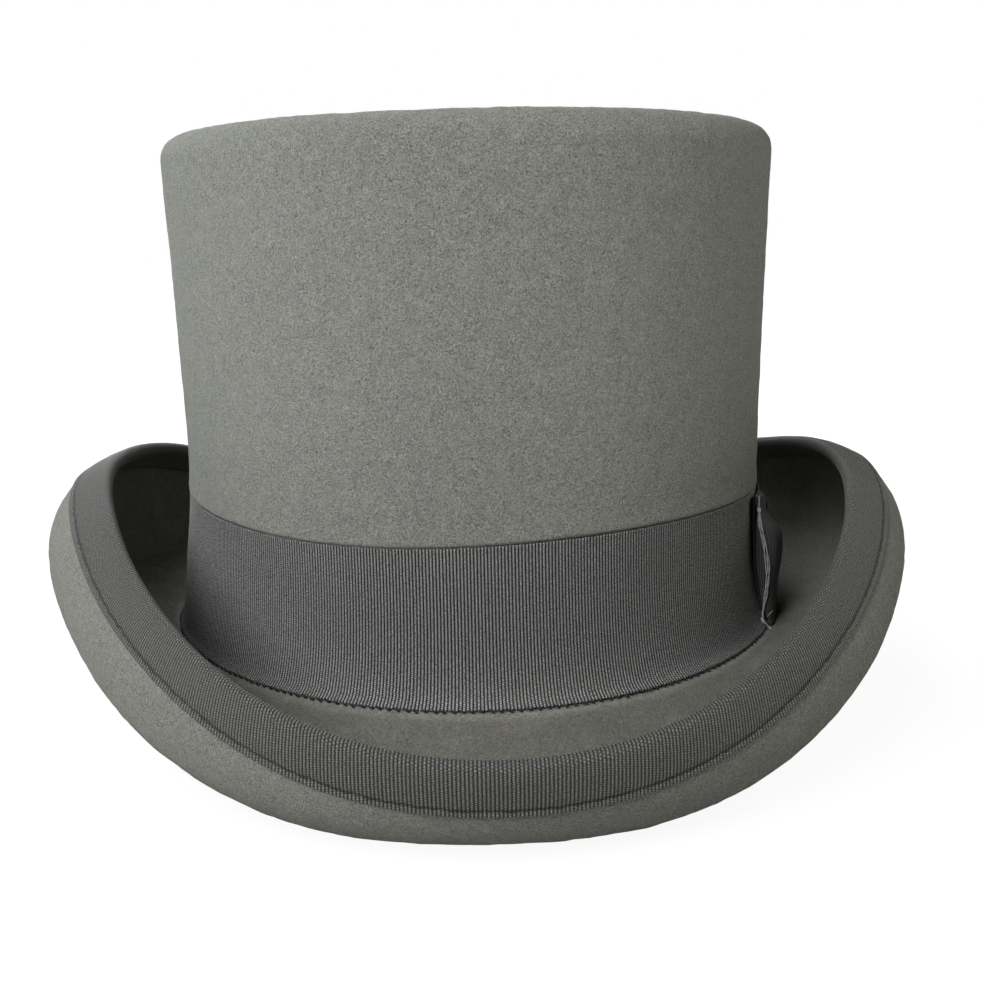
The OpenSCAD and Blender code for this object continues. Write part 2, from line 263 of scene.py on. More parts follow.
def lumps(points, size, seed=0):
    """Smooth noise of about -1 to 1 at points in metres, its bumps of that size in millimetres."""
    shift = Vector((seed * 7.3, seed * 3.1, seed * 5.7))
    flat = np.asarray(points).reshape(-1, 3) / (size * MM)
    values = np.fromiter((noise.noise(Vector(p) + shift) for p in flat), float, len(flat))
    return values.reshape(np.asarray(points).shape[:-1])


def around(columns):
    """Even angles round the oval, one to a row."""
    return np.linspace(-PI, PI, columns, endpoint=False)[:, None]


def smooth(x, low, high):
    t = np.clip((x - low) / (high - low), 0, 1)
    return t * t * (3 - 2 * t)


def hump(x, centre, width):
    """A bell of height 1."""
    return np.exp(-(((x - centre) / width) ** 2))


# --- materials


class Graph:
    """Short-hand for a material's nodes: each call adds a node and returns its output socket."""

    def __init__(self, name):
        self.material = bpy.data.materials.new(name)
        self.material.use_nodes = True
        self.tree = self.material.node_tree
        self.shader = self.tree.nodes["Principled BSDF"]

    def add(self, kind, out=0, settings=(), **inputs):
        node = self.tree.nodes.new(kind)
        for k, v in dict(settings).items():
            setattr(node, k, v)
        for k, v in inputs.items():
            socket = node.inputs[int(k[1:])] if k[0] == "i" and k[1:].isdigit() else node.inputs[k]
            self.feed(socket, v)
        return node.outputs[out]

    def feed(self, socket, value):
        if isinstance(value, bpy.types.NodeSocket):
            self.tree.links.new(value, socket)
        else:
            socket.default_value = value

    def math(self, operation, a, b=0.0):
        return self.add("ShaderNodeMath", settings={"operation": operation}, i0=a, i1=b)

    def sum(self, a, b):
        return self.math("ADD", a, b)

    def times(self, a, b):
        return self.math("MULTIPLY", a, b)

    def mix(self, share, a, b):
        node = self.tree.nodes.new("ShaderNodeMix")
        node.data_type = "RGBA"
        self.feed(node.inputs[0], share)
        self.feed(node.inputs[6], a)
        self.feed(node.inputs[7], b)
        return node.outputs[2]

    def scale_colour(self, colour, factor):
        node = self.tree.nodes.new("ShaderNodeVectorMath")
        node.operation = "SCALE"
        linked = isinstance(colour, bpy.types.NodeSocket)
        self.feed(node.inputs[0], colour if linked else colour[:3])
        self.feed(node.inputs[3], factor)
        return node.outputs[0]

    def noise(self, where, size, detail=3.0, roughness=0.55, distortion=0.0):
        """Noise whose bumps are about that many millimetres across."""
        return self.add(
            "ShaderNodeTexNoise", Vector=where, Scale=1 / (size * MM), Detail=detail,
            Roughness=roughness, Distortion=distortion,
        )

    def remap(self, value, low, high, to_low, to_high):
        return self.add("ShaderNodeMapRange", i0=value, i1=low, i2=high, i3=to_low, i4=to_high)

    def where(self):
        return self.add("ShaderNodeTexCoord", out=3)

    def weave(self):
        """The ribbon's own coordinates in metres: along it and across it."""
        uv = self.add("ShaderNodeUVMap", settings={"uv_map": "weave"})
        node = self.tree.nodes.new("ShaderNodeSeparateXYZ")
        self.feed(node.inputs[0], uv)
        return uv, node.outputs[0], node.outputs[1]

    def bump(self, height, distance, strength=1.0):
        return self.add("ShaderNodeBump", Height=height, Distance=distance * MM, Strength=strength)

    def voronoi(self, where, size):
        return self.add("ShaderNodeTexVoronoi", Vector=where, Scale=1 / (size * MM), Randomness=1.0)

    def finish(self, colour, roughness, normal=None, **constants):
        """Constants go straight on the shader's sockets, because the export drops linked ones."""
        self.feed(self.shader.inputs["Base Color"], colour)
        self.feed(self.shader.inputs["Roughness"], roughness)
        if normal is not None:
            self.feed(self.shader.inputs["Normal"], normal)
        for k, v in constants.items():
            self.shader.inputs[k.replace("_", " ")].default_value = v
        return self.material


FELT_COLOUR = (0.366, 0.378, 0.342)
FELT_BROWN = (0.373, 0.366, 0.316)
RIBBON_COLOUR = (0.098, 0.1, 0.0985)
BINDING_COLOUR = (0.098, 0.1, 0.0925)
RIB = 0.88  # pitch of the ribbons' cords
WEFT = 0.52  # pitch of the fine threads over them
STITCH_AT = 1.75  # distance of the binding's stitches from its lower edge


def tint(colour, factor=1.0):
    return (*[c * factor for c in colour], 1.0)


def felt_material():
    """Wool felt; a 0 to 1 mesh value makes the brim's hollow browner and paints shade there."""
    g = Graph("felt")
    p = g.where()
    valley_brown_and_shade = g.add("ShaderNodeAttribute", out=2, settings={"attribute_name": "valley_brown_and_shade"})
    # short fibres lie every way: noises stretched by their own distortion
    grain = g.noise(p, 0.34, 2.0, 0.7, 0.8)
    fibre = g.noise(p, 0.8, 4.0, 0.75, 1.6)
    clump = g.noise(p, 2.0, 3.0, 0.6, 1.0)
    dimple = g.noise(p, 5.5, 2.0, 0.5, 0.6)
    # the same noises make the bump, so besides its own mottled tone the felt is painted darker
    # where its surface is low: a painted shade
    shade = g.sum(g.remap(fibre, 0.3, 0.7, -0.34, 0.34), g.remap(clump, 0.3, 0.7, -0.1, 0.1))
    shade = g.sum(shade, g.remap(grain, 0.3, 0.7, -0.6, 0.6))
    shade = g.sum(shade, g.remap(dimple, 0.3, 0.7, -0.035, 0.035))
    hue = g.mix(
        g.sum(g.times(valley_brown_and_shade, 0.85), g.remap(dimple, 0.4, 0.7, 0.0, 0.2)),
        tint(FELT_COLOUR), tint(FELT_BROWN),
    )
    # a few pale and dark hairs caught in the felt
    hair = g.voronoi(p, 3.6)
    dark = g.remap(hair, 0.03, 0.1, 0.66, 1.0)
    pale = g.voronoi(p, 5.2)
    light = g.remap(pale, 0.02, 0.07, 1.4, 1.0)
    factor = g.times(g.sum(shade, 1.0), g.times(dark, light))
    # painted shade: darker over the brim's upper side and edge, less on its underside
    factor = g.times(factor, g.remap(valley_brown_and_shade, 0.0, 1.0, 1.0, 0.55))
    height = g.sum(g.times(fibre, 0.9), g.times(clump, 0.8))
    height = g.sum(height, g.times(grain, 0.5))
    return g.finish(
        g.scale_colour(hue, factor), 0.94, g.bump(height, 1.0, 1.0),
        Specular_IOR_Level=0.15, Sheen_Weight=0.2, Sheen_Roughness=0.5,
        Sheen_Tint=(0.9, 0.92, 0.88, 1.0),
    )


def grosgrain_material(name, colour, factor, contrast, seam=None):
    """Ribbed ribbon: cords across it, covered by fine threads that run along it.

    factor scales its colour, making up for how the bump and the ribs darken it; a low factor paints
    shade on it. contrast sets the painted shade between the cords' crowns and grooves, and its
    specks.
    seam is the distance in mm of a row of stitches from the edge; beyond it the ribbon is paler.
    """
    g = Graph(name)
    uv, along, across = g.weave()
    at = g.math("DIVIDE", along, RIB * MM)
    crown = g.math("SINE", g.times(g.math("FRACT", at), PI))
    # each fine thread shows as a row of short dashes, shifted by half from rib to rib
    odd = g.times(g.math("FLOOR", at), 0.5)
    thread = g.sum(g.math("DIVIDE", across, WEFT * MM), odd)
    dash = g.times(g.math("ABSOLUTE", g.math("SUBTRACT", g.math("FRACT", thread), 0.5)), 2.0)
    grain = g.noise(uv, 0.38, 2.0, 0.6)
    speck = 0.85 * contrast
    # painted shade: lighter on the cords' crowns and darker in the grooves between them, on top of
    # the ribs in the mesh
    shade = g.remap(crown, 0.35, 0.95, 1 - contrast, 1 + contrast)
    shade = g.times(shade, g.remap(dash, 0.1, 0.9, 1.45, 0.55))
    shade = g.times(shade, g.remap(grain, 0.3, 0.7, 1 - speck, 1 + speck))
    if seam:
        wander = g.remap(g.noise(uv, 2.4, 2.0, 0.6), 0.3, 0.7, -0.3 * MM, 0.3 * MM)
        edge = g.math("SUBTRACT", across, g.sum(wander, seam * MM))
        shade = g.times(shade, g.remap(edge, -0.5 * MM, -0.2 * MM, 1.15, 1.0))
        line = g.remap(g.math("ABSOLUTE", edge), 0.12 * MM, 0.5 * MM, 0.32, 1.0)
        shade = g.times(shade, line)
    height = g.sum(g.times(crown, 0.6), g.times(dash, -0.4))
    return g.finish(
        g.scale_colour(tint(colour, factor), shade), 0.62, g.bump(height, 0.16, 0.8),
        Specular_IOR_Level=0.35, Sheen_Weight=0.12, Sheen_Roughness=0.4,
    )


def thread_material(name, colour):
    g = Graph(name)
    p = g.where()
    strand = g.noise(p, 0.25, 2.0, 0.6, 1.0)
    return g.finish(
        g.scale_colour(tint(colour), g.remap(strand, 0.3, 0.7, 0.6, 1.4)), 0.75,
        g.bump(strand, 0.08, 0.7), Specular_IOR_Level=0.3, Sheen_Weight=0.2,
    )


def leather_material():
    g = Graph("sweatband_leather")
    p = g.where()
    cells = g.voronoi(p, 0.9)
    fine = g.noise(p, 0.5, 4.0, 0.6)
    cloud = g.noise(p, 18.0, 3.0, 0.5)
    height = g.sum(cells, g.times(fine, 0.5))
    shade = g.times(g.remap(cloud, 0.3, 0.7, 0.82, 1.18), g.remap(cells, 0.0, 0.8, 0.85, 1.1))
    return g.finish(
        g.scale_colour(tint((0.055, 0.048, 0.042)), shade), g.remap(cloud, 0.3, 0.7, 0.42, 0.55),
        g.bump(height, 0.12, 0.6), Specular_IOR_Level=0.45,
    )


def satin_material():
    g = Graph("lining_satin")
    p = g.where()
    streak = g.noise(g.add("ShaderNodeMapping", Vector=p, Scale=(1.0, 1.0, 0.12)), 0.35, 3.0, 0.6)
    cloud = g.noise(p, 22.0, 3.0, 0.5)
    shade = g.times(g.remap(streak, 0.3, 0.7, 0.9, 1.08), g.remap(cloud, 0.3, 0.7, 0.93, 1.05))
    return g.finish(
        g.scale_colour(tint((0.4, 0.41, 0.42)), shade), 0.34, g.bump(streak, 0.04, 0.5),
        Specular_IOR_Level=0.5, Sheen_Weight=0.2, Anisotropic=0.5,
    )


def plain_material(name, colour, roughness):
    g = Graph(name)
    p = g.where()
    fine = g.noise(p, 0.6, 4.0, 0.6)
    return g.finish(
        g.scale_colour(tint(colour), g.remap(fine, 0.3, 0.7, 0.88, 1.12)), roughness,
        g.bump(fine, 0.06, 0.6), Specular_IOR_Level=0.3,
    )


FELT = felt_material()
BAND = grosgrain_material("hatband_grosgrain", RIBBON_COLOUR, factor=1.36, contrast=0.98)
# the bow is the hatband's ribbon, painted darker and flatter all over as a painted shade
SHADED_BOW = grosgrain_material("shaded_bow_grosgrain", RIBBON_COLOUR, factor=0.6, contrast=0.45)
BINDING = grosgrain_material("binding_grosgrain", BINDING_COLOUR, 0.81, 0.74, seam=STITCH_AT)
THREAD = thread_material("dark_thread", (0.018, 0.018, 0.018))
TACK = thread_material("tack_thread", (0.52, 0.52, 0.53))
LEATHER = leather_material()
SATIN = satin_material()
SATIN_RIBBON = plain_material("narrow_ribbon", (0.05, 0.05, 0.05), 0.4)
REED = plain_material("reed_plastic", (0.6, 0.6, 0.58), 0.5)
LABEL = plain_material("label_cloth", (0.66, 0.66, 0.63), 0.85)

# --- camera


def look(at, pitch, yaw, roll, lens):
    """A camera at a point in metres, pitched down, yawed right of +Y and rolled, in degrees."""
    p, y, r = np.radians([pitch, yaw, roll])
    fwd = np.array([np.sin(y) * np.cos(p), np.cos(y) * np.cos(p), -np.sin(p)])
    right = np.cross(fwd, [0, 0, 1])
    right /= np.linalg.norm(right)
    up = np.cross(right, fwd)
    cam_x = right * np.cos(r) - up * np.sin(r)
    cam_y = up * np.cos(r) + right * np.sin(r)
    camera = bpy.data.objects.new("camera", bpy.data.cameras.new("camera"))
    camera.data.lens = lens
    camera.data.sensor_width = 36
    m = np.eye(4)
    m[:3] = np.stack([cam_x, cam_y, -fwd, at], 1)
    camera.matrix_world = Matrix(m.tolist())
    camera.data.clip_start, camera.data.clip_end = 0.01, 50
    bpy.context.scene.collection.objects.link(camera)
    bpy.context.scene.camera = camera


look(at=(-0.00929, -0.4502, BASE_Z * MM + 0.11538), pitch=10.194, yaw=1.845, roll=1.287, lens=52.5)

# --- felt body

COLUMNS = 480


def shoulder_line(a):
    """Height and distance of the line where the wall turns into the tip."""
    h = wall_h(a) - TIP_R
    return h, top_lean(a, h) + base_lean(h)


def felt_body():
    c = around(COLUMNS)
    a = c[:, 0]
    tip = BASE_Z + CROWN_H
    shoulder_h, shoulder_off = shoulder_line(c)

    def shoulder(turns, depth):
        r = TIP_R - depth
        off = shoulder_off - TIP_R + r * np.cos(turns)
        return place(c, off, base_line(c) + shoulder_h + r * np.sin(turns))

    def disc(z, shares):
        rim = place(c, shoulder_off - TIP_R, z)
        pole = np.array([0, 0, z * MM])
        return pole + (rim - pole) * shares[:, None]

    top = band_h(c)
    wall = np.concatenate([
        top + 2.4 + (shoulder_h - top - 2.4) * np.linspace(1, 0, 55),
        top + np.array([1.7, 1.1, 0.6, 0.25, -0.05, -0.4]),
        (top - 1.2) * np.linspace(1, 0, 20),
    ], 1)
    s = np.linspace(0, 1, 39)[1:] * brim_len(c)
    under = np.linspace(1, 0, 40) * brim_len(c)
    outer = [
        disc(tip, np.linspace(0.04, 0.98, 23)),
        shoulder(np.linspace(PI / 2, 0, 8)[:-1], 0),
        wall_section(a, wall).at(0),
        brim_section(a, s, 1).at(0),
        edge_section(a, np.linspace(PI, 0, 7)[1:-1]).at(0),
        brim_section(a, under, -1).at(0),
    ]
    inner_wall = np.array([0.0, 0.02, 0.06, 0.12, 0.3, 0.6, 1.0]) * shoulder_h
    break_r = FELT_T * np.sqrt(0.5)
    inner = [
        place(c, BASE_FLARE - break_r, base_line(c) - break_r),
        wall_section(a, inner_wall).at(-FELT_T),
        shoulder(np.linspace(0, PI / 2, 5)[1:], FELT_T),
        disc(tip - FELT_T, np.array([0.6, 0.2])),
    ]
    rows = np.concatenate(outer + inner, 1)
    normal = -sheet_normals(rows, True)
    # the steps where the wall starts, the brim, its edge, its underside and the inside
    w0, w1, b1, e1, u1 = np.cumsum([p.shape[1] for p in outer])[1:]

    # where ribbon or the inside covers the felt it stays smooth and clear of them
    room = brim_len(c) - BIND_W
    free = np.zeros(rows.shape[:2])
    free[:, :w0] = 1
    free[:, w0:w1] = smooth(wall, top + 0.2, top + 2.5)
    free[:, w1:b1] = smooth(s, 2.0, 6.0) * (1 - smooth(s, room - 2.5, room - 0.2))
    free[:, e1:u1] = 1 - smooth(under, room - 2.5, room - 0.2)
    # the band and the binding press in, so the felt swells a little beside them
    swell = np.zeros_like(free)
    under_band = 1 - smooth(wall, top - 0.2, top + 0.7)
    swell[:, w0:w1] = hump(wall - top, 1.6, 2.4) * 0.22 - pressed(wall) * under_band
    swell[:, e1:u1] = hump(under - room, -2.2, 1.4) * 0.22
    bumps = (
        0.22 * lumps(rows, 40, 1) + 0.15 * lumps(rows, 9, 2) + 0.13 * lumps(rows, 3.6, 3)
        + 0.11 * lumps(rows, 1.9, 4)
    )
    rows = rows + normal * ((bumps * free + swell) * MM)[..., None]

    shape = capped(rows, [0, 0, tip * MM], [0, 0, (tip - FELT_T) * MM])
    piece = make("felt_body", shape, FELT, flip=True)

    # the brim's upper side gets browner away from the crown, and darker there as a painted shade
    valley_brown_and_shade = np.zeros(rows.shape[:2])
    valley_brown_and_shade[:, w1:e1] = 1
    valley_brown_and_shade[:, e1:u1] = 0.35
    valley_brown_and_shade[:, w1:b1] = smooth(s, 0.5, 4.0) * (1 + 0.35 * lumps(rows[:, w1:b1], 7, 9))
    layer = piece.data.attributes.new("valley_brown_and_shade", "FLOAT", "POINT")
    layer.data.foreach_set("value", np.concatenate([valley_brown_and_shade.ravel(), [0, 0]]).astype(np.float32))


# --- ribbons

PER_RIB = 4
RIB_SHAPE = np.array([0.0, 0.75, 1.0, 0.75])
RIB_DEPTH = 0.17
RIBBON_FACE = GAP + RIBBON_T - 0.25  # the ribbons' face between the cords, off the felt


def pressed(h):
    """How far the hatband presses into the felt at height h, less at its sewn edge."""
    return PRESS * smooth(h, 0.2, 3.0)


def rib_heights(columns):
    return RIB_SHAPE[np.arange(columns) % PER_RIB][:, None]


def ribbed_ring(line):
    """Even angles round the ring line(a), PER_RIB to a cord, the cords' heights and its length."""
    a = np.linspace(-PI, PI, 4001)
    run = np.concatenate([[0], np.cumsum(np.linalg.norm(np.diff(line(a), axis=0), axis=1))])
    girth = run[-1] / MM
    columns = round(girth / RIB) * PER_RIB
    at = np.linspace(0, run[-1], columns, endpoint=False)
    return np.interp(at, run, a), rib_heights(columns), girth


def ribbon_mesh(outside, inside, v_out, v_in):
    """The shape of a closed ring between two grids, whose points are v_out and v_in across it."""
    points = np.concatenate([outside, inside[:, ::-1]], 1)
    columns, steps = points.shape[:2]
    along = np.arange(columns) * RIB / PER_RIB
    across = np.concatenate([v_out, v_in[:, ::-1]], 1)
    uv = np.stack(np.broadcast_arrays(along[:, None], across), -1) * MM
    return points, faces_of(columns, steps, True, True), uv


def bead(v, width, size=0.22, reach=0.45):
    """The ribbon's selvedges: a fine cord along each edge at v = 0 and v = width."""
    return size * (hump(v, reach, reach) + hump(width - reach, v, reach))


def hatband():
    def middle(a):
        return wall_section(a, np.full((len(a), 1), BAND_W // 2)).at(1)[:, 0]

    a, rib, girth = ribbed_ring(middle)
    shares = np.concatenate(
        [[0.006, 0.014, 0.026, 0.045], np.linspace(0.07, 0.93, 17), [0.955, 0.975, 0.988, 0.997]]
    )
    width = band_h(a[:, None])
    v = width * shares
    # the cords' ends stand out a little past the edge
    v = v + np.where(shares < 0.01, -0.12, 0) * rib + np.where(shares > 0.99, 0.10, 0) * rib
    sec = wall_section(a, v)
    uneven = 0.06 * lumps(sec.at(0), 16, 5)
    selvedges = bead(v, width) * (1 - 0.6 * smooth(v, 20, 30))
    out = sec.at(RIBBON_FACE - pressed(v) + rib * RIB_DEPTH + selvedges + uneven)
    inner_sec = wall_section(a, width * np.array([0.004, 0.03, 0.2, 0.5, 0.8, 0.97, 0.996]))
    inn = inner_sec.at(GAP - 0.12 - pressed(inner_sec.v))
    piece = make("hatband", ribbon_mesh(out, inn, v, inner_sec.v), BAND)


def binding_section(a, outer, inner, turns):
    """The binding's path over the brim's edge, from shares of its two legs and turns between."""
    length = brim_len(a[:, None])
    return joined(
        brim_section(a, length - BIND_W + outer * BIND_W, -1),
        edge_section(a, turns),
        brim_section(a, length - inner * BIND_W, 1),
    )


def brim_binding():
    def rim(a):
        return edge_section(a, np.full((len(a), 1), PI / 2)).at(0.5)[:, 0]

    a, rib, girth = ribbed_ring(rim)
    leg_out = np.array([0, 0.03, 0.07, 0.12, 0.165, 0.2, 0.25, 0.35, 0.65, 1.0])
    leg_in = np.array([0, 0.45, 0.88, 0.94])
    turns = np.array([0.25, 0.5, 0.75]) * PI
    sec = binding_section(a, leg_out, leg_in, turns)
    v, width = sec.v, sec.v[:, -1:]
    sink = -0.22 * hump(v, STITCH_AT, 0.45)
    wave = 0.07 * lumps(sec.at(0), 7, 8)
    out = sec.at(RIBBON_FACE + rib * RIB_DEPTH + bead(v, width) + sink + wave)
    turns = np.array([0.33, 0.67]) * PI
    inn_sec = binding_section(a, np.array([0, 0.5, 1.0]), np.array([0, 0.94]), turns)
    inn = inn_sec.at(GAP - 0.1)
    piece = make("brim_binding", ribbon_mesh(out, inn, v, inn_sec.v), BINDING)


# --- sheets and threads


def sheet_normals(grid, ring):
    across = np.roll(grid, -1, 0) - np.roll(grid, 1, 0)
    if not ring:
        across[0], across[-1] = grid[1] - grid[0], grid[-1] - grid[-2]
    n = np.cross(across, np.gradient(grid, axis=1))
    return n / np.maximum(np.linalg.norm(n, axis=-1, keepdims=True), 1e-12)


def thick_sheet(middle, front, back, along=None, across=None, ring=False):
    """The shape of a closed sheet whose faces are front and back millimetres from its middle.

    along and across are its weave coordinates in millimetres.
    """
    n = sheet_normals(middle, ring)
    shape = middle.shape[:2]
    front, back = (np.broadcast_to(x, shape)[..., None] * MM for x in (front, back))
    points = np.concatenate([middle + n * front, (middle - n * back)[:, ::-1]], 1)
    columns, m = shape
    faces = faces_of(columns, 2 * m, ring, True)
    if not ring:
        last = (columns - 1) * 2 * m
        for j in range(m - 1):
            q = [j, j + 1, 2 * m - 2 - j, 2 * m - 1 - j]
            faces += [q, [last + k for k in q[::-1]]]
    if along is None:
        return points, faces, None
    uv = np.stack([np.broadcast_to(x, shape) for x in (along, across)], -1)
    return points, faces, np.concatenate([uv, uv[:, ::-1]], 1) * MM


def merged(parts):
    """One shape from several, which all have weave coordinates or none."""
    points, faces, uvs, first = [], [], [], 0
    for p, f, uv in parts:
        points.append(p.reshape(-1, 3))
        faces += [[k + first for k in q] for q in f]
        if uv is not None:
            uvs.append(uv.reshape(-1, 2))
        first += len(points[-1])
    return np.concatenate(points), faces, np.concatenate(uvs) if uvs else None


def tube(path, radius, sides=8):
    """A round tube along points in metres, its radius in mm, closed by a point at each end."""
    r = np.broadcast_to(radius, len(path)) * MM
    t = np.gradient(path, axis=0)
    t /= np.linalg.norm(t, axis=1, keepdims=True)
    s = np.cross(t[0], [0.3, 0.2, 1.0] if abs(t[0][2]) < 0.8 else [1.0, 0.2, 0.1])
    frames = []
    for step in t:
        s = s - step * (s @ step)
        s /= np.linalg.norm(s)
        frames.append(s)
    side = np.array(frames)
    up = np.cross(t, side)
    turn = np.arange(sides) * 2 * PI / sides
    rings = path[:, None] + r[:, None, None] * (
        side[:, None] * np.cos(turn)[None, :, None] + up[:, None] * np.sin(turn)[None, :, None]
    )
    n = len(path)
    ends = [path[0] - t[0] * r[0] * 0.7, path[-1] + t[-1] * r[-1] * 0.7]
    points = np.concatenate([rings.reshape(-1, 3), ends])
    faces = [q[::-1] for q in faces_of(n, sides, False, True)]
    for j in range(sides):
        k = (j + 1) % sides
        faces.append([n * sides, k, j])
        faces.append([n * sides + 1, (n - 1) * sides + j, (n - 1) * sides + k])
    return points, faces, None


def stitches(name, point, count, share, top, sunk, radius, seed, material=THREAD):
    """A piece of stitches all the way round, whose ends dive into the cloth.

    point(angles, lifts, jitter) gives their places. Each takes up a share of its pitch and goes
    from the lift sunk up to top and back.
    """
    rng = np.random.default_rng(seed)
    pitch = 2 * PI / count
    shares = np.array([0, 0.12, 0.3, 0.5, 0.7, 0.88, 1.0])
    parts = []
    for i in range(count):
        start = -PI + pitch * (i + rng.uniform(-0.06, 0.06))
        size = share * rng.uniform(0.9, 1.1)
        lift = sunk + (top * rng.uniform(0.85, 1.1) - sunk) * np.sin(PI * shares) ** 0.45
        path = point(start + pitch * size * shares, lift, rng.uniform(-0.12, 0.12))
        parts.append(tube(path, radius * (0.7 + 0.3 * np.sin(PI * shares)), 6))
    make(name, merged(parts), material)


def brim_binding_stitches():
    def point(a, lift, jitter):
        length = brim_len(a[:, None])
        sec = brim_section(a, length - BIND_W + STITCH_AT + jitter, -1)
        return sec.at(lift[:, None])[:, 0]

    name = "brim_binding_stitches"
    stitches(name, point, 300, share=0.8, top=0.5, sunk=0.1, radius=0.17, seed=11)


def hatband_stitches():
    def point(a, lift, jitter):
        # each slip stitch slants down from the selvedge to the felt
        h = 0.85 + jitter - 0.95 * np.linspace(0, 1, len(a))
        return wall_points(a, h, lift + 0.25 * np.linspace(1, -0.6, len(a)))

    stitches("hatband_stitches", point, 248, share=0.55, top=1.15, sunk=0.4, radius=0.27, seed=12)


# --- bow

# how far the bow's loops stand off the felt, by share of the hatband's width
BULGE = (
    (-0.02, 0.04, 0.10, 0.172, 0.26, 0.348, 0.433, 0.52,
     0.592, 0.66, 0.711, 0.761, 0.806, 0.85, 0.895, 1.0),
    (3.5, 3.3, 4.3, 5.2, 6.0, 6.7, 7.5, 8.1, 8.3, 8.1, 7.6, 6.1, 4.7, 3.7, 3.1, 3.0),
)
BASE_LEN, BASE_AT = 78.0, 0.72  # the flat under-layer's length, and its distance off the felt
UNDER_KNOT, LOOP_BACK = 3.2, 1.6  # distances off the felt: the loops at the knot, their back layer
LOOP_SHARE = 0.955  # the loops' width, as a share of the hatband's
GATHER, GATHER_AT = 0.41, 0.445  # share of the width lost at the knot, and the height it goes to
SHEET_FACE, BOW_RIBS = 0.2, 0.09  # half the ribbon's thickness, and the height of its cords


def cords(columns):
    """Heights of the bow's cords and places along its ribbon, one to a row."""
    return rib_heights(columns) * BOW_RIBS, np.arange(columns)[:, None] * RIB / PER_RIB


def bow_base():
    columns = round(BASE_LEN / RIB) * PER_RIB
    a = np.linspace(BOW_START + np.radians(1.5), BOW_END - np.radians(1.0), columns)[:, None]
    shares = np.array([0.05, 0.058, 0.07, 0.09, 0.2, 0.35, 0.5, 0.65, 0.8, 0.93, 0.95, 0.962, 0.97])
    h = band_h(a) * shares
    rib, along = cords(columns)
    shape = thick_sheet(wall_points(a, h, BASE_AT), 0.18 + rib, 0.22, along, h)
    piece = make("bow_base", shape, SHADED_BOW)


def bow_loop(name, end, size, seed):
    """A flat loop of ribbon: out from the knot, round its fold and back against the hatband."""
    reach, nose = abs(end - BOW_MID) * OVAL_D, 2.8
    leg = reach - nose
    in_leg, in_nose = round(leg / RIB) * PER_RIB, round(8.5 / RIB) * PER_RIB
    # t is 0 at the fold and 1 at the knot; turn goes from the outer leg to the back one
    t = np.concatenate([
        np.linspace(1, 0, in_leg, endpoint=False), np.zeros(in_nose), np.linspace(0, 1, in_leg)
    ])[:, None]
    turn = np.concatenate([
        np.full(in_leg, PI / 2), np.linspace(PI / 2, -PI / 2, in_nose, endpoint=False),
        np.full(in_leg, -PI / 2),
    ])[:, None]
    f = np.concatenate(
        [[0.0, 0.008, 0.02, 0.04], np.linspace(0.07, 0.93, 22), [0.96, 0.98, 0.992, 1.0]]
    )
    f = 0.03 + LOOP_SHARE * f
    bulge = UNDER_KNOT + (np.interp(f, *BULGE) - 0.42 - UNDER_KNOT) * size
    wave = np.where(t < 0.3, 0.86 + 0.14 * smooth(t, 0, 0.3), 1 - smooth(t, 0.34, 0.74))
    outer = UNDER_KNOT + (bulge - UNDER_KNOT) * wave
    # the thread ties the fold down at two heights
    tied = (hump(f, 0.86, 0.05) + 0.8 * hump(f, 0.07, 0.05)) * hump(t, 0, 0.12)
    away = (outer + LOOP_BACK) / 2 + (outer - LOOP_BACK) / 2 * np.sin(turn) * (1 - 0.45 * tied)
    along = leg * (1 - t) + nose * np.cos(turn) - 1.0 * tied
    a = BOW_MID + (end - BOW_MID) / reach * along
    # the ribbon is gathered towards the knot
    narrow = 1 - GATHER * smooth(t, 0.0, 0.9)
    h = band_h(a) * (GATHER_AT + (f - GATHER_AT) * narrow)
    middle = wall_points(a, h, away)
    creased = 0.22 * lumps(middle, 8, seed) * np.maximum(wave, 0) * MM
    middle = middle + sheet_normals(middle, False) * creased[..., None]
    rib, place_along = cords(len(t))
    face = SHEET_FACE + rib + 0.5 * bead(f * BAND_W, BAND_W)
    shape = thick_sheet(middle, face, face, place_along, f * BAND_W)
    piece = make(name, shape, SHADED_BOW)


def bow_knot():
    """The ribbon wrapped round the bow's middle, over both of its edges."""
    low, high, turn_r, top = 7.0, 32.4, 1.7, UNDER_KNOT + 1.25
    down = np.linspace(1.5, top - turn_r, 5)[:-1]
    quarter = np.linspace(0, PI / 2, 9)
    h = np.concatenate([
        np.full(4, low), low + turn_r * (1 - np.cos(quarter)),
        np.linspace(low + turn_r, high - turn_r, 150)[1:-1],
        high - turn_r * (1 - np.sin(quarter)), np.full(4, high),
    ])
    d = np.concatenate([
        down, top - turn_r + turn_r * np.sin(quarter), np.full(148, top),
        top - turn_r + turn_r * np.cos(quarter), down[::-1],
    ])
    run = np.concatenate([[0], np.cumsum(np.hypot(np.diff(h), np.diff(d)))])
    columns = round(run[-1] / RIB) * PER_RIB
    at = np.linspace(0, run[-1], columns)
    h, d = np.interp(at, run, h)[:, None], np.interp(at, run, d)[:, None]
    x = np.concatenate(
        [[-1.0, -0.985, -0.95, -0.9], np.linspace(-0.8, 0.8, 15), [0.9, 0.95, 0.985, 1.0]]
    )
    # it narrows a little in the middle, with two soft pleats
    waist = 1 - 0.13 * hump(h, BAND_W / 2, 11)
    a = BOW_MID + KNOT_HALF * x * waist
    d = d + (0.22 * np.cos(3 * PI * x) - 0.35 * x ** 2) * smooth(d, top - turn_r, top)
    middle = wall_points(a[:, ::-1], h, d[:, ::-1])
    width = 2 * KNOT_HALF * OVAL_D
    across = (x + 1) / 2 * width
    face = SHEET_FACE + cords(columns)[0] + 0.5 * bead(across, width)
    shape = thick_sheet(middle, face, face, at[:, None], across)
    piece = make("bow_knot", shape, SHADED_BOW)


